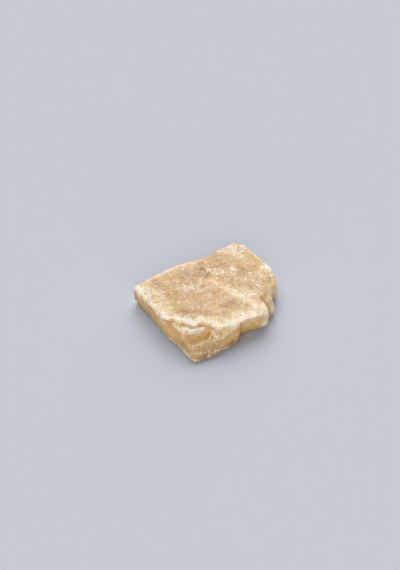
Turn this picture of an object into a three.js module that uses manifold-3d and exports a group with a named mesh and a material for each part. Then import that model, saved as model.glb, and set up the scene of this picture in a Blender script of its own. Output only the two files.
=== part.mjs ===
// Raw calcite: one small slab of honey calcite as it broke from the vein, lying on its flat cleavage face.
// The slab is made of blocks with flat facets, joined into one solid. Its skin is then parted into small
// triangles, its edges are worn, and the relief of the broken surface (waves, steps, lumps) is laid on.
// Millimetres, +Z up. The origin is at the middle of the stone's outline, on the face that it lies on.
import * as THREE from "three";
import { mergeVertices } from "three/addons/utils/BufferGeometryUtils.js";
import Module from "manifold-3d";

const wasm = await Module();
wasm.setup();

// ---- Driving dimensions ------------------------------------------------------------------------------

const LENGTH = 55.8; // along X
const WIDTH = 46.2; // along Y
const THICKNESS = 10.1; // along Z, at the highest lump

const FACE_SPACING = 1.6; // longest triangle edge on the upper surface and the sides
const UNDERSIDE_SPACING = 6; // longest triangle edge on the flat face that it lies on
const SHORTEST_EDGE = 0.6; // edges below this are closed up
const WEAR = 0.36; // share of the way to the neighbours' mean that wear moves a point
const STEP_WIDTH = 1; // half the width of a step's riser
const NEAR_GROUND = 1.2; // height over which the relief fades in above the flat face
const UPWARD = [0.6, 0.95]; // upward share of the normal over which the upper surface's relief fades in

// ---- Tolerances of the triangle mesh -----------------------------------------------------------------

const SAME_POINT = 1e-4; // points nearer than this are one
const ON_GROUND = 1e-3; // height below which a point belongs to the flat face that the stone lies on
const FLAT_PAIR = 0.9995; // cosine between two triangles that count as one flat face
const FOLD_LIMIT = 0.5; // cosine of the most that a triangle may turn when an edge is closed
const ROUND_PAIR = Math.PI + 1e-3; // sum of opposite angles over which a pair's other diagonal is better
const BALL_SEGMENTS = [32, 20]; // around and from pole to pole of a hollow
const CUTTER = 200; // side of the box behind a facet, far larger than the stone

// ---- Blocks ------------------------------------------------------------------------------------------
// Each block is an upright prism over an outline, and facets and hollows are cut off it. A facet is a plane:
// a point on it, the compass direction in degrees that it faces (0 is +X, 90 is +Y), and how far it faces
// up (90 is level, and below 0 it overhangs). A hollow is an ellipsoid, turned about Z by degrees.

const UPPER_SURFACE = { at: [-3, 0, 9.25], faces: 42, up: 88.6 };

const PLATEAU = {
  outline: [
    [-27.3, 14], [-27.9, 1.5], [-26.4, -2.4], [-25.4, -4.6], [-22.8, -7], [-20.6, -9.3], [-19.6, -11.5],
    [-15.5, -12.4], [-13.9, -13.4], [-13.3, -16.9], [-11.8, -19], [-8.2, -18.9], [-4.6, -20.6], [-3, -19],
    [6, -16], [19.8, -12.2], [22.8, -12.2], [25.1, -9.4], [27.1, -5], [27.8, 0], [27.7, 7], [27.3, 12],
    [26.9, 16.8], [24.4, 19.5], [19, 20], [-10, 20.2], [-24, 18],
  ],
  top: 10.6,
  facets: [
    UPPER_SURFACE,
    { at: [-27.1, 8, 9.3], faces: 183, up: 58 }, // frosted rim over the left side
    { at: [12, 19.4, 8.7], faces: 90, up: 50 }, // back rim
    { at: [25.6, 17.4, 8.5], faces: 48, up: 46 }, // far corner
    { at: [27.1, 6, 8.6], faces: 8, up: 46 }, // right rim
    { at: [20.8, -10, 7.9], faces: -52, up: 68 }, // long slope at the right
    { at: [28, 2, 4], faces: -2, up: -16 }, // the right side leans in below
    { at: [25.2, -10.4, 4], faces: -50, up: -10 },
  ],
  hollows: [],
};
const BACK_SHOULDER = {
  outline: [
    [-27.6, 8], [5, 8], [6.8, 19.9], [3.6, 21.2], [0.4, 22.5], [-8, 23], [-22, 23.4], [-25.4, 23.2],
    [-27.6, 21.8], [-28, 19],
  ],
  top: 10.6,
  facets: [
    UPPER_SURFACE,
    { at: [-27, 16, 9.2], faces: 180, up: 58 }, // rim over the left side
    { at: [-26, 22, 8.9], faces: 130, up: 54 }, // left corner
    { at: [-14, 22.6, 8.7], faces: 92, up: 46 }, // back rim
    { at: [-0.6, 21.4, 8.7], faces: 70, up: 46 },
    { at: [-14, 22.2, 3], faces: 92, up: -8 }, // the back leans in below
  ],
  hollows: [],
};
const FRONT_TONGUE = {
  outline: [
    [-3, -20.6], [1.5, -20.5], [6, -22.1], [9, -23.3], [11.2, -22.7], [12.4, -20], [12.8, -13.8],
    [15.6, -11.6], [14, -6], [-3, -6],
  ],
  top: 10.6,
  facets: [
    UPPER_SURFACE,
    { at: [10.2, -22.2, 8.4], faces: -62, up: 48 }, // rounded right end
    { at: [5, -21.6, 1.6], faces: -104, up: -5 }, // the front face leans in below
  ],
  hollows: [{ at: [3.4, -26.6, 4.6], radii: [9.5, 5.3, 4.2], turn: -16 }],
};
const LEFT_LOBE = {
  outline: [
    [-27.9, 1.6], [-27.9, -2], [-27.5, -13], [-26, -14.6], [-22.3, -16.3], [-20, -16.9], [-17, -17.5],
    [-13, -18.2], [-11, -14], [-11, -5], [-20, -5], [-24, 1.6],
  ],
  top: 10,
  facets: [
    UPPER_SURFACE,
    { at: [-20.5, -12.4, 8.7], faces: -105, up: 84 }, // the ledge
    { at: [-26.2, -3.2, 9.6], faces: 198, up: 46 }, // rim over the left side
    { at: [-26.7, -8, 6.6], faces: 190, up: 18 },
    { at: [-25.5, -13.5, 7.4], faces: -128, up: 36 }, // its front left end
  ],
  hollows: [],
};
const LEFT_FOOT = {
  outline: [
    [-27.7, -7], [-27.4, -13.6], [-26.9, -18.2], [-26, -20.7], [-24.4, -22.4], [-21.4, -23.4],
    [-15.8, -23.5], [-13, -22.6], [-12, -14], [-12, -7],
  ],
  top: 7.4,
  facets: [
    { at: [-21.2, -17.9, 5.75], faces: -121, up: 62 }, // the flat facet below the scoop
    { at: [-22, -21.2, 2.4], faces: -103, up: 34 }, // front face
    { at: [-26.4, -17.5, 3], faces: -157, up: 20 }, // front left corner
    { at: [-26.7, -8, 6.6], faces: 190, up: 18 }, // flush with the lobe above
  ],
  hollows: [],
};
const MIDDLE_LOBE = {
  outline: [
    [-16, -14], [-15.4, -22.4], [-13, -23.2], [-9.2, -23.9], [-6, -23.7], [-3.8, -22.7], [-2.4, -20.8],
    [-2, -14],
  ],
  top: 8.9,
  facets: [
    { at: [-8.8, -20.4, 7.9], faces: -112, up: 58 }, // slope down to the front
    { at: [-9.4, -22.2, 4], faces: -91, up: 14 }, // front face
    { at: [-14.2, -19.7, 7.6], faces: -150, up: 46 }, // towards the flat facet on its left
  ],
  hollows: [],
};
const RIGHT_LEDGE = {
  outline: [
    [10.5, -21.4], [12.8, -20.2], [14.6, -19.7], [16.4, -19.2], [17.8, -17.7], [18.4, -15.6], [19.4, -12.4],
    [19, -8], [10.5, -9],
  ],
  top: 9,
  facets: [
    { at: [16, -13.2, 7.9], faces: -52, up: 70 }, // its top
    { at: [17.5, -17.3, 4.4], faces: -50, up: 34 }, // its outer rim
  ],
  hollows: [],
};
const BLOCKS = [
  PLATEAU, BACK_SHOULDER, FRONT_TONGUE, LEFT_LOBE, LEFT_FOOT, MIDDLE_LOBE, RIGHT_LEDGE,
];

// Facets that run over all the blocks, on the underside
const UNDERSIDE = [
  { at: [10, -21, 1.1], faces: -60, up: -80 }, // lifts the front right off the ground
  { at: [-28, 5, 3.4], faces: 180, up: -17 }, // the left side leans in below
  { at: [-27.3, -11, 3], faces: 183, up: -12 },
  { at: [-14, -23.2, 0.9], faces: -92, up: -50 }, // bevel along the front foot
  { at: [0, 21.6, 0], faces: 92, up: -40 }, // bevels along the back and the right
  { at: [26.4, 6, 0.6], faces: 4, up: -42 },
];

// Hollows through several blocks
const HOLLOWS = [
  { at: [-21.6, -16.6, 9.6], radii: [11, 3.7, 3.8], turn: -22 }, // scoop under the ledge
  { at: [-15, -16, 10.6], radii: [1.6, 3, 2.6], turn: -10 }, // cleft beside the middle lobe
  { at: [-1.3, -23.5, 5], radii: [2, 2.4, 7], turn: 0 }, // notch between middle lobe and front tongue
  { at: [21, -13, 6], radii: [1.8, 1.6, 5], turn: 0 }, // notch at the end of the right ledge
  { at: [2.4, 13.2, 12.4], radii: [3.4, 4.4, 4], turn: 10 }, // pit
  { at: [14, 22.4, 2.6], radii: [6.5, 3.9, 3.4], turn: -6 }, // chips out of the back
  { at: [-17, 25.6, 3.4], radii: [8, 3.6, 3.2], turn: 4 },
  { at: [-3, 24.9, 7.4], radii: [4.5, 3, 2.8], turn: -16 },
  { at: [30.6, 9, 3.6], radii: [3.8, 7, 3], turn: 6 }, // chip out of the right side
];

// ---- Relief ------------------------------------------------------------------------------------------

const WAVES = [
  { length: 13, height: 0.34, seed: 3 },
  { length: 5.2, height: 0.24, seed: 11 },
  { length: 2.3, height: 0.1, seed: 27 },
];
// Steps: the upper surface drops by `height` on the right-hand side of each line, going along its points
const STEPS = [
  { line: [[4, 2], [5.2, -4.4], [6.6, -9], [8.2, -15.6]], height: -0.55, reach: 7 },
  { line: [[-13, 9], [-8.5, 7.8], [-4.6, 6]], height: 0.35, reach: 3.5 },
  { line: [[-2, 10.4], [0, 7.7], [2.7, 6.9], [6, 7.8]], height: -0.4, reach: 4 },
];
// Pits and lumps of the upper surface: place, radius and height
const LUMPS = [
  { at: [-20, 12], radius: 5, height: 0.35 },
  { at: [-15, -4], radius: 5, height: 0.3 },
  { at: [8.5, -19], radius: 4, height: 0.3 },
  { at: [16, 2], radius: 5, height: -0.35 },
  { at: [-6, -6], radius: 6, height: -0.3 },
  { at: [12, 12], radius: 4.5, height: 0.3 },
];

// ---- Solids ------------------------------------------------------------------------------------------

const X_AXIS = new THREE.Vector3(1, 0, 0);

function solidOf(geometry) {
  geometry.deleteAttribute("normal");
  geometry.deleteAttribute("uv");
  const merged = mergeVertices(geometry, SAME_POINT);
  return new wasm.Manifold(
    new wasm.Mesh({
      numProp: 3,
      vertProperties: new Float32Array(merged.attributes.position.array),
      triVerts: new Uint32Array(merged.index.array),
    }),
  );
}

function prism(outline, top) {
  const shape = new THREE.Shape(outline.map(([x, y]) => new THREE.Vector2(x, y)));
  return solidOf(new THREE.ExtrudeGeometry(shape, { depth: top, bevelEnabled: false }));
}

function facetNormal({ faces, up }) {
  const compass = THREE.MathUtils.degToRad(faces);
  const lift = THREE.MathUtils.degToRad(up);
  return new THREE.Vector3(
    Math.cos(lift) * Math.cos(compass),
    Math.cos(lift) * Math.sin(compass),
    Math.sin(lift),
  );
}

// The half of space in front of a facet, as a large box
function inFrontOf(facet) {
  const box = new THREE.BoxGeometry(CUTTER, CUTTER, CUTTER).translate(CUTTER / 2, 0, 0);
  const turn = new THREE.Quaternion().setFromUnitVectors(X_AXIS, facetNormal(facet));
  return solidOf(box.applyQuaternion(turn).translate(...facet.at));
}

function ellipsoid({ at, radii, turn }) {
  const ball = new THREE.SphereGeometry(1, ...BALL_SEGMENTS).scale(...radii);
  return solidOf(ball.rotateZ(THREE.MathUtils.degToRad(turn)).translate(...at));
}

function cut(solid, facets, hollows) {
  const faceted = facets.reduce((rest, facet) => rest.subtract(inFrontOf(facet)), solid);
  return hollows.reduce((rest, hollow) => rest.subtract(ellipsoid(hollow)), faceted);
}

function block({ outline, top, facets, hollows }) {
  return cut(prism(outline, top), facets, hollows);
}

function roughStone() {
  const joined = BLOCKS.map(block).reduce((a, b) => a.add(b));
  return cut(joined, UNDERSIDE, HOLLOWS);
}

// ---- Skin: a list of points and a list of triangles --------------------------------------------------

function skinOf(solid) {
  const mesh = solid.getMesh();
  const points = [];
  for (let i = 0; i < mesh.numVert; i++) {
    points.push(new THREE.Vector3().fromArray(mesh.vertProperties, i * mesh.numProp));
  }
  const triangles = [];
  for (let i = 0; i < mesh.triVerts.length; i += 3) {
    triangles.push(Array.from(mesh.triVerts.slice(i, i + 3)));
  }
  return { points, triangles };
}

const edgeKey = (a, b) => (a < b ? a + "_" + b : b + "_" + a);

// Each edge's two ends and the triangles on it
function edgesOf({ triangles }) {
  const edges = new Map();
  triangles.forEach((corners, t) => {
    for (let k = 0; k < 3; k++) {
      const a = corners[k];
      const b = corners[(k + 1) % 3];
      const key = edgeKey(a, b);
      if (!edges.has(key)) edges.set(key, { a: Math.min(a, b), b: Math.max(a, b), on: [] });
      edges.get(key).on.push(t);
    }
  });
  return edges;
}

function neighboursOf({ points, triangles }) {
  const near = points.map(() => new Set());
  for (const [a, b, c] of triangles) {
    near[a].add(b).add(c);
    near[b].add(c).add(a);
    near[c].add(a).add(b);
  }
  return near;
}

const lieFlat = (point) => point.z < ON_GROUND;

// The longest edge allowed: wide on the flat face below, and fine everywhere else
function spacingOf(a, b) {
  return lieFlat(a) && lieFlat(b) ? UNDERSIDE_SPACING : FACE_SPACING;
}

function otherCorner(corners, a, b) {
  return corners.find((c) => c !== a && c !== b);
}

// Halves the longest edges, each triangle at most once. Returns whether any edge was halved.
function halveLongEdges(skin) {
  const { points, triangles } = skin;
  const long = [];
  for (const edge of edgesOf(skin).values()) {
    const excess = points[edge.a].distanceTo(points[edge.b]) / spacingOf(points[edge.a], points[edge.b]);
    if (excess > 1) long.push({ ...edge, excess });
  }
  long.sort((p, q) => q.excess - p.excess);
  const used = new Set();
  for (const { a, b, on } of long) {
    if (on.some((t) => used.has(t))) continue;
    const middle = points.push(points[a].clone().lerp(points[b], 0.5)) - 1;
    for (const t of on) {
      used.add(t);
      const corners = triangles[t];
      triangles[t] = corners.map((c) => (c === a ? middle : c));
      triangles.push(corners.map((c) => (c === b ? middle : c)));
    }
  }
  return long.length > 0;
}

function cornerAngle(points, at, p, q) {
  const toP = points[p].clone().sub(points[at]);
  return toP.angleTo(points[q].clone().sub(points[at]));
}

function normalOf(a, b, c) {
  return b.clone().sub(a).cross(c.clone().sub(a)).normalize();
}

function triangleNormal(points, corners) {
  return normalOf(...corners.map((c) => points[c]));
}

// Turns an edge inside a flat pair of triangles where the other diagonal makes rounder triangles
function turnEdges(skin) {
  const { points, triangles } = skin;
  const edges = edgesOf(skin);
  const used = new Set();
  for (const { a, b, on } of edges.values()) {
    if (on.length !== 2 || on.some((t) => used.has(t))) continue;
    const [t, u] = on;
    const c = otherCorner(triangles[t], a, b);
    const d = otherCorner(triangles[u], a, b);
    if (edges.has(edgeKey(c, d))) continue;
    if (cornerAngle(points, c, a, b) + cornerAngle(points, d, a, b) < ROUND_PAIR) continue;
    const before = triangleNormal(points, triangles[t]);
    if (before.dot(triangleNormal(points, triangles[u])) < FLAT_PAIR) continue;
    const first = triangles[t].map((corner) => (corner === b ? d : corner));
    const second = triangles[u].map((corner) => (corner === a ? c : corner));
    if (triangleNormal(points, first).dot(before) < FLAT_PAIR) continue;
    if (triangleNormal(points, second).dot(before) < FLAT_PAIR) continue;
    triangles[t] = first;
    triangles[u] = second;
    used.add(t).add(u);
    edges.set(edgeKey(c, d), { a: c, b: d, on: [] });
  }
}

// Draws each edge that is too short together into one point, where that folds no triangle over
function closeShortEdges(skin) {
  const { points, triangles } = skin;
  const near = neighboursOf(skin);
  const trianglesAt = points.map(() => []);
  triangles.forEach((corners, t) => corners.forEach((c) => trianglesAt[c].push(t)));
  const used = new Set();
  const gone = new Set();
  for (const { a, b, on } of edgesOf(skin).values()) {
    if (points[a].distanceTo(points[b]) > SHORTEST_EDGE) continue;
    const shared = [...near[a]].filter((c) => near[b].has(c));
    const around = new Set([...near[a], ...near[b]]);
    if (shared.length !== 2 || [...around].some((c) => used.has(c))) continue;
    if (lieFlat(points[a]) !== lieFlat(points[b])) continue;
    const middle = points[a].clone().lerp(points[b], 0.5);
    const moved = (c) => (c === a || c === b ? middle : points[c]);
    const folds = [...trianglesAt[a], ...trianglesAt[b]].some((t) => {
      if (on.includes(t)) return false;
      const after = normalOf(...triangles[t].map(moved));
      return normalOf(...triangles[t].map((c) => points[c])).dot(after) < FOLD_LIMIT;
    });
    if (folds) continue;
    points[a] = middle;
    for (const t of trianglesAt[b]) triangles[t] = triangles[t].map((c) => (c === b ? a : c));
    on.forEach((t) => gone.add(t));
    around.forEach((c) => used.add(c));
  }
  skin.triangles = triangles.filter((_, t) => !gone.has(t));
  return gone.size > 0;
}

// Drops the points that no triangle uses
function dropLoosePoints(skin) {
  const number = new Map();
  for (const corner of skin.triangles.flat()) {
    if (!number.has(corner)) number.set(corner, number.size);
  }
  skin.points = [...number.keys()].map((corner) => skin.points[corner]);
  skin.triangles = skin.triangles.map((corners) => corners.map((c) => number.get(c)));
}

function refine(skin) {
  do turnEdges(skin);
  while (halveLongEdges(skin));
  while (closeShortEdges(skin)) turnEdges(skin);
  dropLoosePoints(skin);
}

// Wears the edges round. Points of the flat face below stay in it.
function wear(skin) {
  const near = neighboursOf(skin);
  skin.points = skin.points.map((point, i) => {
    const mean = new THREE.Vector3();
    near[i].forEach((j) => mean.add(skin.points[j]));
    const worn = point.clone().lerp(mean.divideScalar(near[i].size), WEAR);
    return lieFlat(point) ? worn.setZ(0) : worn;
  });
}

// ---- Relief functions --------------------------------------------------------------------------------

// A repeatable random number from -1 to 1 for each corner of a lattice
function lattice(x, y, z, seed) {
  const mix = Math.sin(x * 127.1 + y * 311.7 + z * 74.7 + seed * 53.3) * 43758.5453;
  return 2 * (mix - Math.floor(mix)) - 1;
}

const ease = (t) => t * t * (3 - 2 * t);

// Smooth random waves of about one unit's length
function waves(x, y, z, seed) {
  const cell = [x, y, z].map(Math.floor);
  const [u, v, w] = [x - cell[0], y - cell[1], z - cell[2]].map(ease);
  const mix = THREE.MathUtils.lerp;
  const corner = (i, j, k) => lattice(cell[0] + i, cell[1] + j, cell[2] + k, seed);
  const row = (j, k) => mix(corner(0, j, k), corner(1, j, k), u);
  const sheet = (k) => mix(row(0, k), row(1, k), v);
  return mix(sheet(0), sheet(1), w);
}

function broken(point) {
  return WAVES.reduce((sum, { length, height, seed }) => {
    const { x, y, z } = point.clone().divideScalar(length);
    return sum + height * waves(x, y, z, seed);
  }, 0);
}

// Distance to a line of points, with its sign: positive on the right-hand side, going along the line
function sideOf(line, x, y) {
  let nearest = { distance: Infinity, side: 1 };
  for (let i = 0; i + 1 < line.length; i++) {
    const [ax, ay] = line[i];
    const [bx, by] = line[i + 1];
    const [dx, dy] = [bx - ax, by - ay];
    const along = ((x - ax) * dx + (y - ay) * dy) / (dx * dx + dy * dy);
    const t = THREE.MathUtils.clamp(along, 0, 1);
    const distance = Math.hypot(x - ax - t * dx, y - ay - t * dy);
    const side = (x - ax) * dy - (y - ay) * dx > 0 ? 1 : -1;
    if (distance < nearest.distance) nearest = { distance, side };
  }
  return nearest.distance * nearest.side;
}

function stepDrop({ line, height, reach }, x, y) {
  const side = sideOf(line, x, y);
  const riser = THREE.MathUtils.smoothstep(side, -STEP_WIDTH, STEP_WIDTH);
  const fade = 1 - THREE.MathUtils.smoothstep(Math.abs(side), STEP_WIDTH, reach);
  return height * (riser - 0.5) * fade;
}

function lumpRise({ at, radius, height }, x, y) {
  const share = Math.hypot(x - at[0], y - at[1]) / radius;
  return share < 1 ? height * ease(1 - share) : 0;
}

function upperRelief(x, y) {
  const lumps = LUMPS.reduce((sum, lump) => sum + lumpRise(lump, x, y), 0);
  return STEPS.reduce((sum, step) => sum - stepDrop(step, x, y), lumps);
}

function pointNormals({ points, triangles }) {
  const normals = points.map(() => new THREE.Vector3());
  for (const [a, b, c] of triangles) {
    const side = points[b].clone().sub(points[a]);
    const cross = side.cross(points[c].clone().sub(points[a]));
    for (const corner of [a, b, c]) normals[corner].add(cross);
  }
  return normals.map((normal) => normal.normalize());
}

function addRelief(skin) {
  const normals = pointNormals(skin);
  skin.points.forEach((point, i) => {
    if (lieFlat(point)) return;
    const fade = THREE.MathUtils.smoothstep(point.z, 0, NEAR_GROUND);
    const upward = THREE.MathUtils.smoothstep(normals[i].z, ...UPWARD);
    const { x, y } = point;
    point.addScaledVector(normals[i], fade * broken(point));
    point.z += upward * upperRelief(x, y);
  });
}

// Brings the stone to its driving dimensions, its underside at Z = 0 and its middle on the Z axis
function fitToSize({ points }) {
  const box = new THREE.Box3().setFromPoints(points);
  const size = box.getSize(new THREE.Vector3());
  const middle = box.getCenter(new THREE.Vector3()).setZ(box.min.z);
  const scale = new THREE.Vector3(LENGTH, WIDTH, THICKNESS).divide(size);
  for (const point of points) point.sub(middle).multiply(scale);
}

function geometryOf({ points, triangles }) {
  const geometry = new THREE.BufferGeometry().setFromPoints(points);
  geometry.setIndex(triangles.flat());
  geometry.computeVertexNormals();
  return geometry;
}

function stoneGeometry() {
  const skin = skinOf(roughStone());
  refine(skin);
  wear(skin);
  addRelief(skin);
  fitToSize(skin);
  return geometryOf(skin);
}

// ---- The part ----------------------------------------------------------------------------------------

const honey = new THREE.MeshStandardMaterial({ color: 0xdcbd92, roughness: 0.5, metalness: 0 });
const calcite = new THREE.Mesh(stoneGeometry(), honey);
calcite.name = "calcite";

const stone = new THREE.Group();
stone.add(calcite);

export default stone;
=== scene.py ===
"""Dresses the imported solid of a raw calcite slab: broken skin, honey and frost, floor and soft light."""

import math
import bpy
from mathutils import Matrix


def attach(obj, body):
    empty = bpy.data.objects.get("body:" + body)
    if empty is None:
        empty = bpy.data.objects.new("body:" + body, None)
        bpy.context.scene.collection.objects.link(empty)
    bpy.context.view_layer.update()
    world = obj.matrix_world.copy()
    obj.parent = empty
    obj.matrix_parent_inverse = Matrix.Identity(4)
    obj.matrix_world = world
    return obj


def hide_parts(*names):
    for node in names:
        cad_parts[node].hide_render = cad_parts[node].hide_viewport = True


bl_info = {
    "name": "Raw Calcite",
    "version": (1, 0, 0),
    "blender": (4, 5, 0),
    "location": "View3D > Sidebar > Calcite",
    "description": "Makes a slab of raw honey calcite over its solid, and a plain stage for it",
    "category": "Add Mesh",
}

import bpy
import numpy as np
from bpy.props import FloatProperty, FloatVectorProperty, PointerProperty
from mathutils import Vector

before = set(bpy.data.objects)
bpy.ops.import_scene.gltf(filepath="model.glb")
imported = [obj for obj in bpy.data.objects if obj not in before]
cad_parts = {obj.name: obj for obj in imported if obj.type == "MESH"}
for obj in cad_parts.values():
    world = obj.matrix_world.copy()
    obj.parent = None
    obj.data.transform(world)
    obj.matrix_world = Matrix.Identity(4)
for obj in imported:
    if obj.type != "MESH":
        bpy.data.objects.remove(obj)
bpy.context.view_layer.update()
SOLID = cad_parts["calcite"]

MM = 0.001

# ---- Skin: all in millimetres --------------------------------------------------------------------------

WELD = 0.0005  # corners of the solid closer than this are one
SKIN_SMOOTHING = {"factor": 0.5, "iterations": 6}
RELIEF = {  # each texture's size across and its height
    "swell": {"kind": "CLOUDS", "size": 3.6, "height": 0.34},
    "ledges": {"kind": "CLOUDS", "size": 3.2, "height": 0.2, "steps": 4},
    "chips": {"kind": "VORONOI", "size": 1.6, "height": 0.1},
    "grain": {"kind": "CLOUDS", "size": 0.7, "height": 0.05},
}
NEAR_GROUND = 1.0  # the relief fades in over this height above the ground
GROOVE_DEPTH = 0.6
RIDGE_HEIGHT = 0.35
EDGE_HEIGHT = 0.5  # what stands out this far of its surroundings has the full haze of an edge
EDGE_HAZE = 0.6
EDGE_ROUNDS = 40  # rounds of smoothing that make those surroundings
GROUP_STEPS = 50  # levels of weight in a vertex group

# ---- Strokes -------------------------------------------------------------------------------------------
# A stroke follows a line of points, in millimetres, and fades out over its reach. A line without heights
# is drawn in plan, and marks only what faces up. Where strokes of a list meet, the strongest one counts.

STROKE_TAIL = 1.2  # a stroke ends at this many times its reach


def stroke(reach, strength, *points):
    return {"reach": reach, "strength": strength, "line": points}


FROST = (
    # the white corner and the left rim
    stroke(4.4, 1.3, (-27, 21.5), (-26.6, 18)),
    stroke(3.4, 0.6, (-25.6, 12), (-24.4, 17)),
    stroke(2.8, 1.0, (-26.8, 14), (-26.5, 4), (-26, 0.4)),
    stroke(2.6, 1.2, (-26, 0.8), (-24.8, -1)),
    stroke(2.8, 1.1, (-22, -2.6), (-20.2, -5)),
    stroke(2.8, 1.2, (-19.6, -6.8), (-18.2, -10.6)),
    # the broad frost along the front rim
    stroke(2.8, 0.85, (-16, -9), (-14.4, -10.2)),
    stroke(3.0, 0.85, (-13, -12), (-11.4, -16)),
    stroke(3.4, 1.0, (-11.4, -17), (-5, -18.2), (0, -18.2)),
    stroke(3.2, 1.4, (-5, -19.2), (-1.6, -19.4)),
    stroke(3.2, 1.25, (0, -18.4), (4.4, -19.8)),
    stroke(3.0, 0.85, (5.6, -17.8), (8.4, -16.6)),
    stroke(2.8, 0.8, (11.2, -20.6), (12, -18)),
    stroke(2.4, 0.75, (6.6, -20.9), (9.4, -21)),
    # veins and patches in the middle
    stroke(2.6, 0.7, (-11.6, 9), (-8.6, 8.2), (-5.6, 6.2)),
    stroke(2.2, 0.5, (2, 6), (2.4, 3.6), (3.8, 1.8)),
    stroke(2.4, 0.65, (5.6, -3), (6.4, -5), (7, -8)),
    stroke(2.6, 0.6, (8.6, -7), (9, -12)),
    stroke(2.2, 0.9, (11.2, -9.6), (12.2, -10.8)),
    stroke(1.8, 0.6, (-3, -15.6), (0.6, -16.6)),
    stroke(2.6, 0.6, (4.2, 10), (6.2, 9), (7.4, 11)),
    # the far corner and the right rim
    stroke(3.6, 0.6, (19, 17.4), (20.6, 15), (21.6, 12.6)),
    stroke(1.6, 0.9, (25, 16.4), (25.6, 15.8)),
    stroke(2.4, 0.6, (24.4, -0.4), (25.6, 1)),
    stroke(2.4, 0.9, (27.2, 1), (27, -3), (26, -7)),
    stroke(1.8, 0.6, (27, 14), (27.4, 4), (27.2, -2)),
    stroke(2.2, 0.5, (14.6, 18.4), (17.6, 17.4)),
    stroke(2.4, 0.8, (20.6, 18.8), (22.8, 17.2)),
    stroke(2.2, 0.7, (24.2, 12.8), (25.6, 11)),
    # the back rim
    stroke(1.8, 0.5, (-21, 22.4), (-10, 22.4)),
    # the ledge under the front rim
    stroke(1.2, 0.9, (-23, -8.6, 8.8), (-22.2, -10.4, 8.7), (-21, -12, 8.5)),
    stroke(1.2, 1.1, (-20.2, -12, 8.6), (-18, -13.2, 8.6), (-16.1, -13.8, 8.7)),
    stroke(1.8, 1.1, (-18.6, -12.8, 8.6), (-16.2, -13.6, 8.6)),
    stroke(2.0, 0.8, (-24.4, -7.6, 8.8), (-23, -11.6, 8.2), (-18, -13.4, 8.4)),
    stroke(0.9, 0.7, (-25, -3.8, 9.5), (-24.9, -7.2, 8.9), (-24.5, -10.4, 8.3), (-24.8, -12.2, 7.2)),
    # the middle lobe: bruises beside the cleft, and light lines along its rim and foot
    stroke(1.1, 0.9, (-13.6, -18, 7.7), (-13.6, -19.2, 7.2)),
    stroke(2.0, 0.6, (-15.8, -19.8, 5.6), (-14.2, -20.6, 6)),
    stroke(1.0, 0.9, (-13.4, -19.4, 7), (-13.1, -20.7, 6.4)),
    stroke(0.9, 0.6, (-14.4, -19.6, 6.6), (-15.6, -20.6, 5.6)),
    stroke(0.6, 0.8, (-14.2, -20.6, 6.3), (-10.8, -20.9, 6.9), (-7.7, -20.7, 7.7), (-5, -20.8, 8.2)),
    stroke(0.7, 0.65, (-12.4, -22.8, 1.6), (-8, -22.9, 1.8), (-5.8, -22.6, 2.2), (-3.6, -21.6, 6)),
    # the ridge of the left lobe, frost with a painted highlight along its edge, and the corner and the
    # foot of the left lobe
    stroke(0.9, 0.75, (-25.2, -18.4, 3.7), (-23.3, -19.9, 3.5), (-20.3, -20.7, 3.3), (-18.7, -21, 3.4)),
    stroke(0.9, 0.6, (-18.7, -21, 3.4), (-16.4, -20.8, 4.4)),
    stroke(1.0, 0.8, (-26.7, -15, 4), (-26.5, -17.6, 2), (-26.4, -18.4, 1)),
    stroke(0.7, 0.7, (-18.1, -22.7, 1.2), (-17.5, -22.3, 1.9), (-15.8, -22.1, 2.8)),
    stroke(0.8, 0.7, (-26.4, -17.6, 1.5), (-25.7, -20, 1.5), (-24.6, -21.4, 1.4), (-21.4, -22.2, 1.3)),
    stroke(0.6, 0.6, (-21.4, -22.2, 1.3), (-18, -22.8, 1.4)),
    stroke(0.6, 0.8, (-26, -20.6, 0.6), (-24.4, -22.3, 0.4), (-20, -22.9, 0.5), (-17, -23, 0.8)),
    # the lower half of the left side, and its far corner
    stroke(3.0, 0.9, (-28, 12, 0.8), (-28, 0, 1), (-27.6, -6, 1.4), (-27, -11, 1.8), (-26.5, -17, 1.8)),
    stroke(1.8, 0.6, (-28, 8, 2.6), (-27.8, -4, 2.6), (-26.8, -12, 2.4)),
    stroke(2.4, 1.1, (-27.9, 22, 7.4), (-27.9, 17, 7.2)),
    # the right end of the tongue and the rim of the right ledge
    stroke(1.5, 1.0, (12.4, -17.6, 9), (12.1, -19.8, 9), (10.6, -21.4, 8.2)),
    stroke(1.8, 0.8, (10.6, -21.4, 8.2), (9.6, -22.5, 5.5), (8.8, -23, 3)),
    stroke(2.4, 0.9, (20, -12, 6.6), (18.6, -16.2, 5.4), (16.4, -19, 4.4)),
    stroke(2.4, 0.7, (28, 3, 7), (27.6, -4, 6.4), (25.4, -9.6, 6)),
    # the back and the right side
    stroke(1.4, 0.8, (-22, 23, 2), (-14, 23, 3.2)),
    stroke(1.2, 0.9, (2, 21, 3.4), (8, 20.4, 4.6)),
    stroke(2.0, 0.7, (19, 20, 2), (25, 19, 3.6), (27.6, 12, 3)),
    stroke(1.4, 0.7, (27.8, 8, 2), (27.8, 0, 2.6)),
)
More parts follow.
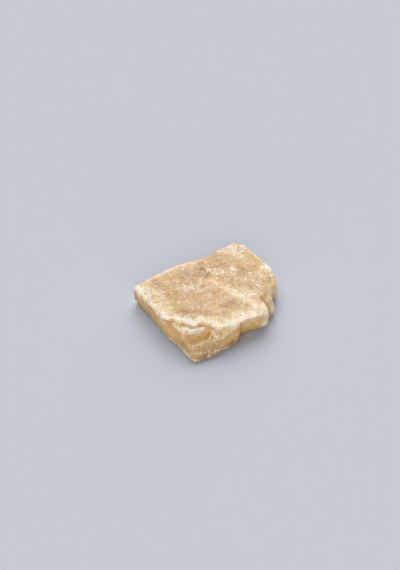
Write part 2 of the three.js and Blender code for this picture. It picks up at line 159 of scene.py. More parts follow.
CREAM = (
    # the left rim and the front rim
    stroke(4.4, 0.75, (-22.2, 21), (-21.6, 12), (-22, 3)),
    stroke(4.0, 0.75, (-25, 20), (-25, 2)),
    stroke(4.0, 0.75, (-21.6, -4.4), (-18.6, -8.4), (-14, -10.4)),
    stroke(4.8, 0.85, (-13, -12.6), (-10, -15.6), (-3, -17.4), (4, -17)),
    stroke(5.0, 1.0, (2, -18.4), (8, -17.6), (9.6, -20.6)),
    # the middle
    stroke(5.0, 0.75, (5, -2), (7, -8), (9, -14)),
    stroke(3.4, 0.6, (9.6, -4), (12, -9.6)),
    stroke(2.8, 0.35, (0.4, 7.6), (2.6, 4), (5.4, 2.4)),
    stroke(2.8, 0.6, (-11.4, 8.8), (-5, 6.4), (-1, 7)),
    stroke(2.4, 0.5, (4.2, 11.6), (6.4, 9)),
    stroke(2.6, 0.6, (-3, -15.6), (0, -16.8)),
    # the far corner, the right rim and the back rim
    stroke(3.4, 0.65, (19.6, 17.6), (20.6, 14), (21.6, 11.4)),
    stroke(3.0, 0.6, (17, 18.6), (19, 17.8), (21, 17.6)),
    stroke(2.8, 0.5, (22, 17), (25, 14)),
    stroke(3.0, 0.6, (21.4, -2.6), (25, 0), (25.4, -5)),
    stroke(3.6, 0.4, (16.4, -9), (22, -10), (24, -7)),
    stroke(2.6, 0.8, (-21, 22.4), (-8, 22.2), (3, 20.2)),
    # the upper edge of the left side and the ledges at the front
    stroke(
        1.2, 0.5, (-27.6, 18, 8.4), (-27.4, 6, 8.6), (-27, -3, 8.4), (-26.2, -8, 8.2), (-25.6, -11, 7.8)
    ),
    stroke(2.2, 1.0, (-25, -6, 9.2), (-23.4, -9.6, 8.8), (-18.6, -13, 8.7)),
    stroke(1.8, 0.8, (-14, -19.6, 7), (-13, -20.2, 6.8), (-9, -20.8, 7.2), (-5, -21, 7.6)),
    stroke(2.2, 0.6, (-11.6, -19.4, 8.2), (-7, -19.8, 8.4)),
    # the right end
    stroke(3.4, 1.6, (12.4, -19.6, 8), (11, -21.4, 7), (9.8, -22.4, 4)),
    stroke(3.6, 1.2, (18.4, -14, 6.4), (16.6, -18, 5.6)),
    stroke(3.0, 0.9, (21.6, -11.9, 3.3), (20.5, -11.8, 6.5)),
    stroke(1.8, 0.7, (15.2, -12.2, 8.8), (15.9, -14.2, 7.7)),
    # the back and the right side
    stroke(2.0, 0.6, (-24, 23, 7.4), (-12, 23, 7.6), (-2, 22, 7.4)),
    stroke(2.6, 0.5, (8, 20.4, 6), (18, 20, 5), (24, 19.6, 7)),
    stroke(3.0, 0.8, (27.6, 12, 6.4), (27.8, 2, 6), (26.6, -6, 5.6), (24, -11, 5)),
    # the upper part of the tongue's wall
    stroke(1.8, 0.5, (0, -20.4, 7.6), (4, -21.2, 8), (8, -22.4, 7.6)),
    # beds below the crease
    stroke(1.4, 0.4, (-25.4, -16, 5), (-22, -17.4, 5.2), (-18, -18.6, 5.4)),
    stroke(1.6, 0.6, (-19, -22.6, 2.2), (-14, -22.8, 2.6), (-12, -22.4, 3.6)),
)
GRAINS_AND_GLINTS = (
    # bright single crystals of the right half: frost grains and painted glints
    stroke(1.0, 0.8, (4.8, 12.6), (5.2, 11.8)),
    stroke(1.6, 1.0, (13.6, 7.2), (14.2, 5.8)),
    stroke(1.0, 0.8, (9, 7.4), (9.6, 9.2)),
    stroke(0.8, 0.7, (16.4, 11.6), (16.8, 11.3)),
    stroke(1.0, 0.6, (6.2, 17.6), (7, 17)),
    stroke(0.9, 0.5, (6.6, 10.6), (7.2, 11.2)),
    stroke(0.8, 0.6, (5, 6.6), (5.4, 6.2)),
    stroke(0.9, 0.8, (11.2, 1.8), (11.6, 1.2)),
    stroke(0.8, 0.6, (12.6, 3.8), (13, 3.4)),
    stroke(1.0, 0.7, (18.2, 1.4), (19, 0.8)),
    stroke(1.0, 0.7, (14.2, -0.8), (15, -1.2)),
    stroke(0.8, 0.6, (10.8, -3), (11.4, -3.6)),
    stroke(1.1, 0.7, (16.8, -2.8), (17.4, -4)),
    stroke(1.1, 0.7, (20.8, -3.4), (22, -2.8)),
    stroke(1.0, 0.7, (16.4, -6.8), (16.8, -7.6)),
    stroke(0.9, 0.6, (5.8, -11.8), (6.2, -12.2)),
    # and of the left half
    stroke(0.9, 0.8, (-17, 3.8), (-16.6, 3.2)),
    stroke(1.0, 0.6, (-13.6, 2), (-12.8, 2.6)),
    stroke(1.0, 0.6, (-11, 14.8), (-10.6, 14.2)),
    stroke(1.0, 0.6, (-14.2, -1.8), (-13.6, -2.6)),
    stroke(1.0, 0.4, (-17.4, -1.2), (-17, -1.8)),
    stroke(1.0, 0.5, (-8, 19), (-7.6, 18.4)),
    stroke(0.8, 0.4, (-3.6, 13.4), (-3, 13)),
    stroke(1.0, 0.5, (-2.8, 8.6), (-2.2, 8.2)),
)
SPARKLE = (
    # where small bright crystals and painted glints lie close together
    stroke(9.0, 0.9, (4, 12), (14, 5), (20, -2)),
    stroke(6.0, 0.5, (18, 16), (22, 10)),
    stroke(5.0, 0.35, (-14, 12), (-16, 2), (-12, -4)),
    stroke(6.0, 0.35, (-14, -5), (-4, -12)),
)
# Golden calcite with a painted glow: light shining through the stone, painted into its colour.
AMBER_AND_GLOW = (
    # golden patches at the far right, brightened as a painted glow
    stroke(4.0, 0.55, (20, 7.4), (23, 5), (26.4, 7)),
    stroke(3.0, 0.5, (24, 12), (26.4, 9)),
    # painted golden glow in the crack under the front rim
    stroke(0.9, 1.0, (-21.6, -9.6, 8.9), (-20.3, -11, 8.9), (-18, -12.1, 9), (-15.4, -12.6, 9)),
    stroke(1.1, 1.7, (-15.4, -12.6, 9), (-14.2, -14.6, 8.8), (-13.6, -16.4, 8.6), (-12.6, -18.2, 8.6)),
    stroke(0.9, 1.1, (-12.6, -18.2, 8.6), (-11, -19.2, 8.4), (-8.6, -19.2, 8.6), (-6, -19.8, 8.6)),
    # painted glow in the scoop and the cleft
    stroke(2.4, 0.9, (-25, -11.6, 7), (-21, -14, 7), (-17, -15.4, 7), (-14.6, -16, 7.8)),
    stroke(0.9, 1.5, (-25.4, -12.8, 6), (-22.8, -15.8, 5.6), (-19.3, -15.9, 6), (-17.4, -16.7, 6.2)),
    stroke(0.9, 1.5, (-17.4, -16.7, 6.2), (-15.4, -16.5, 7.2), (-14, -15.8, 8.2)),
    stroke(1.3, 1.8, (-15.8, -15, 7.8), (-14.6, -16.4, 7.6), (-15.4, -17.6, 6.8)),
    stroke(1.5, 2.2, (-14.6, -15.6, 8.2), (-13.6, -17.4, 7.9)),
    # painted glow through the left side
    stroke(3.6, 1.1, (-27.5, 17, 6.4), (-27.5, 2, 6.4), (-27, -8, 6.4)),
    stroke(
        1.1, 0.8, (-27.8, 6, 5.8), (-27.8, 1.4, 6), (-27.1, -5.3, 6), (-26.4, -8.7, 5.2), (-26, -12, 4.2)
    ),
    # painted glow through the front faces, brightening them
    stroke(4.0, 0.95, (-12, -22, 4), (-5, -22, 4)),
    stroke(2.6, 2.0, (-12.6, -18.8, 8), (-9, -19.4, 8.3), (-5, -20.2, 8.3)),
    stroke(5.0, 0.85, (-1, -21, 5), (7, -22.6, 5)),
    stroke(2.6, 1.9, (-2, -20.6, 2.2), (6, -22.4, 2)),
    stroke(2.6, 1.5, (-22, -22.6, 1), (-15, -23, 1.2), (-6, -22.8, 1.6)),
)
HONEY = (
    # the pit and the gold at the back
    stroke(3.8, 1.8, (2.6, 14), (0.8, 11)),
    stroke(2.8, 0.9, (11.4, 14.4), (12.6, 11.4)),
    stroke(2.6, 0.8, (6.8, 14.8), (8.4, 12.8)),
    stroke(2.0, 0.6, (3.2, 18), (4, 17.2)),
    stroke(3.4, 0.5, (9, 17.6), (17, 18)),
    stroke(4.4, 0.6, (-4.6, 17), (-7, 13), (-3, 12)),
    # the left half
    stroke(4.6, 0.65, (-19, 18), (-17.6, 12), (-15.4, 8), (-13, 5)),
    stroke(3.0, 0.4, (-12, 12), (-11, 18)),
    stroke(3.2, 0.9, (-19, -1.2), (-15, -4.4), (-10.6, -7.6)),
    stroke(2.4, 0.9, (-20.6, 3.4), (-20, -0.6)),
    stroke(4.0, 0.4, (-12, -2), (-9, 2)),
    # the middle
    stroke(3.4, 0.6, (-1, -8.6), (3, -10), (4, -7.6)),
    stroke(2.8, 0.6, (-6.4, -12), (-3.2, -13.2)),
    stroke(3.0, 0.5, (7, 2.6), (9.6, 0)),
    stroke(2.2, 0.6, (13, -4), (13.8, -7)),
    # the right half
    stroke(4.4, 0.3, (20, 7), (23, 6), (26.4, 8)),
    stroke(3.0, 0.6, (14, 2), (17, 3.4)),
    stroke(3.0, 0.6, (15, -2.4), (17, -4.6), (18.8, -6.4)),
    stroke(4.0, 0.1, (15.6, -9.4), (20, -9.8), (23.6, -8)),
)
BLUSH = (
    # faintly pink clouds on the upper surface
    stroke(5.0, 0.8, (-7, -4.4), (3, -5)),
    stroke(3.0, 0.6, (-7, -8), (-6, -11)),
    stroke(4.0, 1.1, (7.6, 3.6), (13, 5.4)),
    stroke(3.8, 1.3, (-2.6, 1.4), (3, 2.8)),
    stroke(3.0, 0.9, (11, 0.6), (13, -0.8)),
    stroke(3.0, 0.4, (-17, 4), (-13, 2)),
    stroke(3.0, 0.5, (-26, 14), (-24, 17)),
    # the ledge under the front rim, and what lies below the crease and the cleft
    stroke(2.4, 1.2, (-24.6, -9, 8.8), (-22.4, -10.8, 8.7), (-18, -13, 8.6)),
    stroke(2.2, 1.0, (-24.9, -15.3, 5.4), (-21, -18, 5.4), (-17, -19.4, 5.2)),
    stroke(2.0, 1.0, (-16.4, -19.4, 5.8), (-14.4, -20, 6.2)),
    # the lower part of the left side and of the left lobe
    stroke(2.8, 1.4, (-28, 8, 2), (-27.8, -4, 2), (-26.6, -16, 2)),
    stroke(2.6, 0.7, (-25, -19.6, 3.6), (-20, -21.6, 3.4), (-14, -22, 4)),
)
PAINTED_SHADE = (
    # painted shade along the foot of the front, where it meets the floor
    stroke(1.5, 1.4, (-24.6, -22, 0.1), (-20, -22.8, 0), (-12, -23, 0.2), (-5, -22.6, 0.4)),
    stroke(3.6, 1.4, (-21, -22.2, 0.4), (-12, -22.9, 0.8), (-5, -22.6, 1)),
    stroke(4.4, 0.9, (-2.6, -20.4, 0.6), (2, -20.6, 0.6), (7.4, -22.4, 0.6)),
    stroke(2.4, 0.7, (-13, -22.8, 1.2), (-5.6, -22.6, 1.6), (-3.4, -21.6, 3.4)),
    # painted shade deep in the crease of the scoop and at the cleft
    stroke(1.8, 0.35, (-25, -13.2, 6), (-21.6, -16, 5.8), (-17.4, -16.7, 6.2)),
    stroke(1.6, 0.5, (-16, -14.6, 7.8), (-15.2, -16.2, 7.2)),
)
GROOVES = (
    # the crack under the front rim
    stroke(0.8, 0.7, (-20.3, -11, 9), (-18, -12.1, 9), (-15.4, -12.6, 9), (-14.2, -14.6, 8.8)),
    stroke(0.9, 0.8, (-14.2, -14.6, 8.8), (-13.6, -16.4, 8.6), (-12.6, -18.2, 8.6), (-11, -19.2, 8.4)),
    stroke(0.8, 0.3, (-11, -19.2, 8.4), (-8.6, -19.2, 8.6), (-6, -19.8, 8.6)),
    # the crease of the scoop, up to the cleft
    stroke(1.1, 0.9, (-25.4, -12.8, 6), (-22.8, -15.8, 5.6), (-19.3, -15.9, 6), (-17.4, -16.7, 6.2)),
    stroke(1.1, 1.0, (-17.4, -16.7, 6.2), (-15.4, -16.5, 7.2), (-14, -15.8, 8.2)),
    # the left side
    stroke(1.3, 0.35, (-27.8, 6, 5.8), (-27.8, 1.4, 6), (-27.1, -5.3, 6), (-26.4, -8.7, 5.2)),
    stroke(1.3, 0.2, (-26.4, -8.7, 5.2), (-26, -12, 4.2)),
)
RIDGES = (
    # the left lobe, and the middle lobe with its corner at the cleft
    stroke(1.4, 0.7, (-25.2, -18.4, 3.7), (-23.3, -19.9, 3.5), (-20.3, -20.7, 3.3), (-16.4, -20.8, 4.4)),
    stroke(1.4, 0.4, (-14.2, -20.6, 6.3), (-10.8, -20.9, 6.9), (-7.7, -20.7, 7.7), (-5, -20.8, 8.2)),
    stroke(1.7, 0.8, (-14, -17.4, 7.6), (-13.1, -20.7, 6.4)),
    # the ledge under the front rim
    stroke(1.5, 0.9, (-22.2, -10.4, 8.7), (-21, -12, 8.5)),
    stroke(1.3, 1.0, (-19.6, -12.4, 8.6), (-16.1, -13.8, 8.7)),
    # low folds of the upper surface
    stroke(1.6, 0.2, (5, -1), (6, -4), (7, -7), (7.6, -11), (8.4, -15)),
    stroke(1.6, 0.4, (-11.4, 8.6), (-8.6, 7.6), (-5.6, 6)),
    stroke(2.4, 0.4, (-18, -10.6), (-14.5, -11.2), (-12.6, -14), (-11.6, -17)),
)
PAINTS = {
    "frost": FROST,
    "cream": CREAM,
    "grain": GRAINS_AND_GLINTS,
    "sparkle": SPARKLE,
    "honey": HONEY,
    "amber_and_glow": AMBER_AND_GLOW,
    "blush": BLUSH,
    "umber_and_shade": PAINTED_SHADE,
}

# ---- Patterns and surfaces of the materials ------------------------------------------------------------

NOISES = {  # scale per millimetre, detail and roughness
    "clouds": (0.17, 3.0, 0.5),
    "blotches": (0.45, 4.0, 0.65),
    "mottle": (1.2, 4.0, 0.7),
    "streaks": (0.8, 5.0, 0.75),
    "sugar": (0.95, 1.5, 0.5),  # on level skin only
    "beds": (0.7, 4.0, 0.7),  # on the sides only
    "warp": (1.6, 2.0, 0.5),
}
BED_STRETCH = (0.6, 0.6, 1.9)  # the beds of the sides vary more with height than along a side
WARP_REACH = 1.6  # how far the warp moves the specks about, in millimetres
# Specks are frost grains and painted glints. A share of the cells, so many per millimetre, holds a speck
# each, up to the spread in size.
LARGE_SPECKS = {"scale": 0.7, "share": 0.45, "spread": 0.4}
SMALL_SPECKS = {"scale": 1.3, "share": 0.4, "spread": 0.45}
SPECK_EDGE = 0.15  # a speck fades out over this much of a cell
STONE_SURFACE = {
    "IOR": 1.58,
    "Specular IOR Level": 0.4,
    "Subsurface Weight": 0.8,
    "Subsurface Radius": (1.0, 0.55, 0.25),
    "Subsurface Scale": 3.4 * MM,
}
BUMP_STRENGTH = 0.8
BUMP_HEIGHT = 0.1 * MM
FLOOR_SURFACE = {"Roughness": 0.9, "Specular IOR Level": 0.0}


# ---- Shader maths --------------------------------------------------------------------------------------


class Shade:
    """A socket of a material's nodes. Arithmetic on it adds Math nodes to the same material."""

    def __init__(self, tree, socket=None):
        self.tree = tree
        self.socket = socket

    def node(self, kind, settings=None, inputs=None, output=0):
        """Adds a node, sets its settings first, and then the values or links of its sockets."""
        made = self.tree.nodes.new("ShaderNode" + kind)
        for name, value in (settings or {}).items():
            setattr(made, name, value)
        for key, value in (inputs or {}).items():
            if isinstance(value, Shade):
                self.tree.links.new(value.socket, made.inputs[key])
            else:
                made.inputs[key].default_value = value
        return Shade(self.tree, made.outputs[output])

    def math(self, operation, first, second):
        return self.node("Math", {"operation": operation}, {0: first, 1: second})

    def __add__(self, other):
        return self.math("ADD", self, other)

    def __radd__(self, other):
        return self.math("ADD", other, self)

    def __sub__(self, other):
        return self.math("SUBTRACT", self, other)

    def __rsub__(self, other):
        return self.math("SUBTRACT", other, self)

    def __mul__(self, other):
        return self.math("MULTIPLY", self, other)

    def __rmul__(self, other):
        return self.math("MULTIPLY", other, self)

    def ramp(self, low, high):
        """0 below low, 1 above high, and smooth between them."""
        settings = {"interpolation_type": "SMOOTHSTEP"}
        return self.node("MapRange", settings, {"Value": self, "From Min": low, "From Max": high})

    def mix(self, first, second):
        """Goes from the first colour to the second as this shade goes from 0 to 1."""
        return self.node("Mix", {"data_type": "RGBA"}, {0: self, 6: first, 7: second}, 2)

    def vector(self, operation, inputs):
        """Vector maths on this vector, with the inputs as the other values."""
        return self.node("VectorMath", {"operation": operation}, {0: self, **inputs})

    def feeds(self, surface, name):
        """Links this shade to the surface's input of that name."""
        self.tree.links.new(self.socket, surface.inputs[name])


# ---- Materials -----------------------------------------------------------------------------------------


def new_material(name, values):
    """Returns a material, a Shade to add its first nodes with, and its Principled BSDF with the values."""
    material = bpy.data.materials.new(name)
    material.use_nodes = True
    surface = material.node_tree.nodes["Principled BSDF"]
    for key, value in values.items():
        surface.inputs[key].default_value = value
    return material, Shade(material.node_tree), surface


def opaque(colour):
    return (*colour, 1.0)


class StonePatterns:
    """The stone's noises, which vary about 0, its specks and its painted attributes."""

    def __init__(self, start):
        metres = start.node("TexCoord", None, None, "Object")
        self.place = metres.vector("SCALE", {"Scale": 1 / MM})
        warp = self.texture("warp", self.place, "Color").vector("SCALE", {"Scale": WARP_REACH})
        self.crooked = self.place.vector("ADD", {1: warp})
        flattened = self.place.vector("MULTIPLY", {1: BED_STRETCH})
        level = self.paint("level")
        self.clouds = self.noise("clouds")
        self.blotches = self.noise("blotches")
        self.mottle = self.noise("mottle")
        self.streaks = self.noise("streaks")
        self.sugar = self.noise("sugar") * level
        self.beds = (self.texture("beds", flattened) - 0.5) * (1 - level)
        self.crumbs = self.mottle + self.sugar + self.beds

    def texture(self, name, vector, output=0):
        scale, detail, roughness = NOISES[name]
        inputs = {"Vector": vector, "Scale": scale, "Detail": detail, "Roughness": roughness}
        return vector.node("TexNoise", None, inputs, output)

    def noise(self, name):
        return self.texture(name, self.place) - 0.5

    def paint(self, name):
        return self.place.node("Attribute", {"attribute_name": name}, None, "Fac")

    def specks(self, scale, share, spread):
        """Crooked specks, one in each cell of a share of the cells, of sizes up to the spread."""
        inputs = {"Vector": self.crooked, "Scale": scale}
        distance = self.place.node("TexVoronoi", None, inputs, "Distance")
        chance = self.place.node("TexVoronoi", None, inputs, "Color")
        chance = self.place.node("SeparateColor", None, {0: chance})
        return ((chance + share - 1) * (spread / share) - distance).ramp(0, SPECK_EDGE)


def body_colour(stone, settings):
    """Golden and pale clouds, golden calcite with a painted glow of light through it, pink calcite, dark
    brown painted shade with dim veins, and cream haze over them.
    """
    honey = stone.paint("honey") + stone.clouds * 0.8 + stone.blotches * 1.5 + stone.mottle * 1.5
    # golden calcite, brightened into a painted glow where light shines through the stone
    amber_and_glow = stone.paint("amber_and_glow") + stone.blotches * 1.2 + stone.streaks + stone.beds * 1.6
    blush = stone.paint("blush") + stone.blotches * 1.2 - stone.beds * 2
    veins = stone.paint("amber_and_glow") * (stone.streaks + stone.beds) * 0.9
    # painted shade at the foot of the front and deep in the scoop, and dim veins and beds of the sides
    umber_and_shade = stone.paint("umber_and_shade") + veins + stone.beds * 0.3
    haze = stone.paint("cream") + stone.paint("edge") + stone.blotches * 1.8 + stone.streaks + stone.crumbs
    colour = honey.ramp(-0.4, 0.9).mix(opaque(settings.tan), opaque(settings.honey))
    layers = (
        (amber_and_glow.ramp(0.05, 1.5), settings.amber_and_glow),
        (blush.ramp(0.1, 1.0) * 0.6, settings.blush),
        (umber_and_shade.ramp(0.0, 1.0) * 0.8, settings.umber_and_shade),
        (stone.sugar.ramp(0.0, -0.2) * 0.5, settings.honey),
        (haze.ramp(0.0, 1.0) * 0.85, settings.haze),
    )
    for share, layer in layers:
        colour = share.mix(colour, opaque(layer))
    return colour


def white_share(stone):
    """How white each place is: frost, specks and bright crystals that are frost grains and painted glints,
    and the tips of the sugar.
    """
    frost = stone.paint("frost") + stone.blotches * 2.2 + stone.streaks * 1.6 + stone.crumbs * 1.4
    zone = (stone.clouds * 2 + stone.blotches + stone.paint("sparkle")).ramp(0.0, 0.7)
    # specks: frost grains and painted glints, thickest in the sparkle zone
    flecks_and_glints = stone.specks(**LARGE_SPECKS) * zone + stone.specks(**SMALL_SPECKS) * (zone * 0.5 + 0.2)
    grains_and_glints = stone.paint("grain") + stone.mottle * 1.2 + stone.sugar * 1.4
    tips = stone.sugar.ramp(0.02, 0.25) * 0.2
    return (frost.ramp(0.16, 1.3) + flecks_and_glints * 0.85 + grains_and_glints.ramp(0.25, 0.95) * 0.9 + tips).ramp(-0.05, 1.1)


def calcite_material(settings):
    material, start, surface = new_material("honey_calcite", STONE_SURFACE)
    stone = StonePatterns(start)
    white = white_share(stone)
    white.mix(body_colour(stone, settings), opaque(settings.frost)).feeds(surface, "Base Color")
    (0.4 + white * 0.3).feeds(surface, "Roughness")
    height = stone.mottle + stone.streaks * 0.8
    bump = {"Strength": BUMP_STRENGTH, "Distance": BUMP_HEIGHT, "Height": height}
    start.node("Bump", None, bump).feeds(surface, "Normal")
    return material


def floor_material(settings):
    values = {"Base Color": opaque(settings.floor), **FLOOR_SURFACE}
    return new_material("studio_floor", values)[0]


# ---- Mesh helpers --------------------------------------------------------------------------------------


def activate(piece):
    bpy.ops.object.select_all(action="DESELECT")
    piece.select_set(True)
    bpy.context.view_layer.objects.active = piece


def apply_modifier(piece, kind, **settings):
    activate(piece)
    modifier = piece.modifiers.new(kind.lower(), kind)
    for name, value in settings.items():
        setattr(modifier, name, value)
    bpy.ops.object.modifier_apply(modifier=modifier.name)


def points_of(piece):
    """The piece's points, in millimetres."""
    points = np.empty(len(piece.data.vertices) * 3)
    piece.data.vertices.foreach_get("co", points)
    return points.reshape(-1, 3) / MM


def normals_of(piece):
    normals = np.empty(len(piece.data.vertices) * 3)
    piece.data.vertices.foreach_get("normal", normals)
    return normals.reshape(-1, 3)


def smooth_step(values, low, high):
    t = np.clip((values - low) / (high - low), 0, 1)
    return t * t * (3 - 2 * t)


def facing_up(piece, low, high):
    """0 where the skin's normal rises less than low, 1 where it rises more than high."""
    return smooth_step(normals_of(piece)[:, 2], low, high)


def distance_to(points, line):
    """Distance of each point to a line of points, in plan where the line's points have no height."""
    places = points[:, : len(line[0])]
    nearest = np.full(len(places), np.inf)
    for start, end in zip(np.array(line[:-1], float), np.array(line[1:], float)):
        way = end - start
        share = np.clip((places - start) @ way / (way @ way), 0, 1)
        nearest = np.minimum(nearest, np.linalg.norm(places - start - share[:, None] * way, axis=1))
    return nearest


def strokes_over(piece, strokes):
    """The strongest stroke at each point. A stroke in plan marks only what faces up."""
    points = points_of(piece)
    upward = facing_up(piece, 0.0, 0.5)
    paint = np.zeros(len(points))
    for one in strokes:
        share = 1 - distance_to(points, one["line"]) / (STROKE_TAIL * one["reach"])
        marks = one["strength"] * smooth_step(share, 0, 1)
        if len(one["line"][0]) == 2:
            marks = marks * upward
        paint = np.maximum(paint, marks)
    return paint


def set_group(piece, name, weights):
    """A vertex group of the piece with these weights, cut to 0 to 1."""
    group = piece.vertex_groups.new(name=name)
    steps = np.round(np.clip(weights, 0, 1) * GROUP_STEPS).astype(int)
    for step in np.unique(steps):
        if step:
            group.add(np.nonzero(steps == step)[0].tolist(), float(step / GROUP_STEPS), "REPLACE")


# ---- The stone -----------------------------------------------------------------------------------------


def copy_of_solid():
    """The frame's solid as a closed mesh of its own, without the frame's marks."""
    piece = SOLID.copy()
    piece.data = SOLID.data.copy()
    piece.name = "calcite_stone"
    for key in list(piece.keys()):
        del piece[key]
    piece.parent = None
    bpy.context.scene.collection.objects.link(piece)
    piece.data.materials.clear()
    activate(piece)
    bpy.ops.object.mode_set(mode="EDIT")
    bpy.ops.mesh.select_all(action="SELECT")
    bpy.ops.mesh.remove_doubles(threshold=WELD * MM)
    bpy.ops.object.mode_set(mode="OBJECT")
    return piece


def cut_into_terraces(texture, steps):
    """Makes the texture's middle half go up in steps."""
    texture.use_color_ramp = True
    ramp = texture.color_ramp
    ramp.interpolation = "CONSTANT"
    while len(ramp.elements) < steps:
        ramp.elements.new(0.5)
    for i, stop in enumerate(ramp.elements):
        stop.position = 0.25 + 0.5 * i / steps
        stop.color = opaque([i / (steps - 1)] * 3)


def add_relief(piece, name, kind, size, height, steps=0):
    """Displaces the skin by a texture. With steps, its height goes up in terraces."""
    texture = bpy.data.textures.new(name, kind)
    texture.noise_scale = size * MM
    if steps:
        cut_into_terraces(texture, steps)
    settings = {
        "texture": texture,
        "texture_coords": "LOCAL",
        "strength": height * MM,
        "mid_level": 0.5,
        "vertex_group": "above_ground",
    }
    apply_modifier(piece, "DISPLACE", **settings)


def raise_lines(piece, name, strokes, height):
    """Pushes the skin out along the strokes, or in where the height is negative."""
    set_group(piece, name, strokes_over(piece, strokes))
    apply_modifier(piece, "DISPLACE", strength=height * MM, mid_level=0, vertex_group=name)


def convexity(piece):
    """How far each point stands out of its smoothed neighbourhood, in millimetres."""
    points = points_of(piece)
    edges = np.empty(len(piece.data.edges) * 2, int)
    piece.data.edges.foreach_get("vertices", edges)
    edges = edges.reshape(-1, 2)
    count = np.bincount(edges.ravel(), minlength=len(points))[:, None]
    smooth = points.copy()
    for _ in range(EDGE_ROUNDS):
        total = np.zeros_like(points)
        np.add.at(total, edges[:, 0], smooth[edges[:, 1]])
        np.add.at(total, edges[:, 1], smooth[edges[:, 0]])
        smooth = (smooth + total / count) / 2
    return ((points - smooth) * normals_of(piece)).sum(1)


def paint_stone(piece):
    """Writes each paint to an attribute of the piece, which its material reads."""
    paints = {name: strokes_over(piece, strokes) for name, strokes in PAINTS.items()}
    paints["level"] = facing_up(piece, 0.3, 0.9)
    paints["edge"] = np.clip(convexity(piece) / EDGE_HEIGHT, 0, 1) * EDGE_HAZE
    for name, paint in paints.items():
        layer = piece.data.attributes.new(name, "FLOAT", "POINT")
        layer.data.foreach_set("value", paint.astype(np.float32))


class CALCITE_OT_stone(bpy.types.Operator):
    """Make the broken, frosted stone over its solid"""

    bl_idname = "calcite.stone"
    bl_label = "Stone"

    def execute(self, context):
        settings = context.scene.calcite_stone
        piece = copy_of_solid()
        spacing = settings.skin_spacing
        apply_modifier(piece, "REMESH", mode="VOXEL", voxel_size=spacing, use_smooth_shade=True)
        apply_modifier(piece, "SMOOTH", **SKIN_SMOOTHING)
        set_group(piece, "above_ground", smooth_step(points_of(piece)[:, 2], 0, NEAR_GROUND))
        for name, relief in RELIEF.items():
            add_relief(piece, name, **relief)
        raise_lines(piece, "grooves", GROOVES, -GROOVE_DEPTH)
        raise_lines(piece, "ridges", RIDGES, RIDGE_HEIGHT)
        paint_stone(piece)
        piece.data.materials.append(calcite_material(settings))
        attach(piece, "root")
        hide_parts("calcite")
        return {"FINISHED"}


# ---- The stage: lengths in metres, angles in degrees ---------------------------------------------------

VIEW_TURN = -35  # the camera's turn about Z, away from looking along +Y
VIEW_LIFT = 47  # the camera's height over the horizon
VIEW_DISTANCE = 0.55
VIEW_AIM = Vector((-1.14, 10.02, 5)) * MM
LENS = 80.94  # this and the sensor's width are in millimetres
SENSOR = 36.0
CLIP_START = 0.01
FLOOR_RADIUS = 3
FLOOR_CORNERS = 96
FLOOR_HEIGHT = -0.02 * MM  # just under the stone's flat face, so that the two don't coincide
LAMPS = {
    "key": {"turn": 128, "lift": 32, "strength": 2.04, "softness": 60},
    "second": {"turn": 166, "lift": 44, "strength": 2.15, "softness": 60},
    "fill": {"turn": -36, "lift": 17, "strength": 2.6, "softness": 80},
}


def facing(turn, lift):
    """Unit vector from the stone towards something at a turn about Z and a lift over the horizon."""
    turn = math.radians(turn)
    lift = math.radians(lift)
    return Vector((math.sin(turn) * math.cos(lift), -math.cos(turn) * math.cos(lift), math.sin(lift)))


def add_camera():
    back = facing(VIEW_TURN, VIEW_LIFT)
    turn = back.to_track_quat("Z", "Y").to_euler()
    bpy.ops.object.camera_add(location=VIEW_AIM + back * VIEW_DISTANCE, rotation=turn)
    camera = bpy.context.object
    camera.name = "camera"
    camera.data.lens = LENS
    camera.data.sensor_width = SENSOR
    camera.data.clip_start = CLIP_START
    bpy.context.scene.camera = camera


def add_floor(settings):
    activate(SOLID)
    bpy.ops.mesh.primitive_circle_add(
        vertices=FLOOR_CORNERS, radius=FLOOR_RADIUS, fill_type="NGON", location=(0, 0, FLOOR_HEIGHT)
    )
    floor = bpy.context.object
    floor.name = "floor"
    bpy.ops.object.transform_apply()
    floor.data.materials.append(floor_material(settings))


def add_lamp(name, turn, lift, strength, softness):
    """A distant lamp at a turn and a lift, as wide in the sky as its softness."""
    back = facing(turn, lift)
    bpy.ops.object.light_add(type="SUN", rotation=back.to_track_quat("Z", "Y").to_euler(), location=back)
    lamp = bpy.context.object
    lamp.name = name
    lamp.data.energy = strength
    lamp.data.angle = math.radians(softness)


def add_sky(settings):
    world = bpy.data.worlds.new("studio")
    world.use_nodes = True
    background = world.node_tree.nodes["Background"]
    background.inputs["Color"].default_value = opaque(settings.sky)
    background.inputs["Strength"].default_value = settings.sky_strength
    bpy.context.scene.world = world


class CALCITE_OT_stage(bpy.types.Operator):
    """Make the floor, the soft light and the camera"""

    bl_idname = "calcite.stage"
    bl_label = "Stage"

    def execute(self, context):
        settings = context.scene.calcite_stage
        context.scene.view_settings.view_transform = "Standard"
        add_camera()
        add_floor(settings)
        for name, lamp in LAMPS.items():
            add_lamp(name, **lamp)
        add_sky(settings)
        return {"FINISHED"}


# ---- Settings, panel and registration ------------------------------------------------------------------


def colour_setting(name, description, default):
    return FloatVectorProperty(
        name=name, description=description, default=default, subtype="COLOR", size=3, min=0, max=1
    )


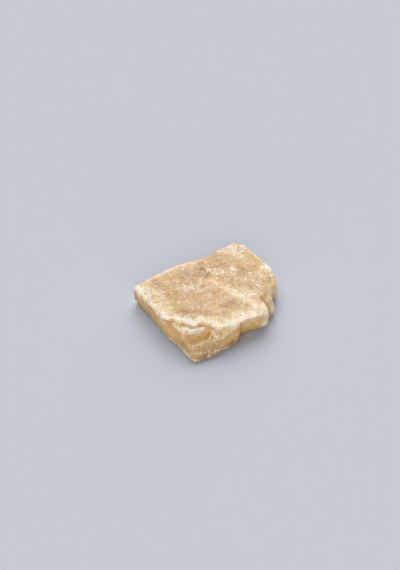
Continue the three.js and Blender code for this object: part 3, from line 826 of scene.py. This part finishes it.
class StoneSettings(bpy.types.PropertyGroup):
    """Sizes and colours of the stone"""

    skin_spacing: FloatProperty(
        name="Skin spacing",
        description="Distance between the points of the stone's skin",
        default=0.28 * MM,
        unit="LENGTH",
    )
    tan: colour_setting("Tan", "Paler body of the stone", (0.57, 0.355, 0.122))
    honey: colour_setting("Honey", "Deeper golden body of the stone", (0.4, 0.22, 0.052))
    amber_and_glow: colour_setting("Amber", "Glowing body where light comes through", (0.85, 0.51, 0.155))
    blush: colour_setting("Blush", "Faintly pink, cloudy calcite", (0.56, 0.385, 0.215))
    # dark brown: painted shade at the foot of the front and deep in the scoop, also dim veins and beds
    umber_and_shade: colour_setting("Umber", "Dim calcite at the foot of the front", (0.22, 0.11, 0.04))
    haze: colour_setting("Haze", "Cloudy, cream-coloured calcite", (0.68, 0.54, 0.33))
    frost: colour_setting("Frost", "Bruised, opaque calcite", (0.80, 0.735, 0.62))


class StageSettings(bpy.types.PropertyGroup):
    """Floor and light"""

    floor: colour_setting("Floor", "Colour of the floor", (0.49, 0.513, 0.572))
    sky: colour_setting("Sky", "Colour of the light from all round", (1.0, 1.0, 1.0))
    sky_strength: FloatProperty(name="Sky strength", description="Light from all round", default=0.06)


class CALCITE_PT_panel(bpy.types.Panel):
    """Settings and steps of the raw calcite"""

    bl_label = "Raw Calcite"
    bl_idname = "CALCITE_PT_panel"
    bl_space_type = "VIEW_3D"
    bl_region_type = "UI"
    bl_category = "Calcite"

    def draw(self, context):
        for group, operator in (
            (context.scene.calcite_stone, "calcite.stone"),
            (context.scene.calcite_stage, "calcite.stage"),
        ):
            for name in group.bl_rna.properties.keys():
                if name not in ("rna_type", "name"):
                    self.layout.prop(group, name)
            self.layout.operator(operator)


CLASSES = (StoneSettings, StageSettings, CALCITE_OT_stone, CALCITE_OT_stage, CALCITE_PT_panel)


def register():
    for cls in CLASSES:
        bpy.utils.register_class(cls)
    bpy.types.Scene.calcite_stone = PointerProperty(type=StoneSettings)
    bpy.types.Scene.calcite_stage = PointerProperty(type=StageSettings)


def unregister():
    del bpy.types.Scene.calcite_stage
    del bpy.types.Scene.calcite_stone
    for cls in reversed(CLASSES):
        bpy.utils.unregister_class(cls)


def main():
    register()
    bpy.ops.calcite.stage()
    bpy.ops.calcite.stone()


if __name__ == "__main__":
    main()
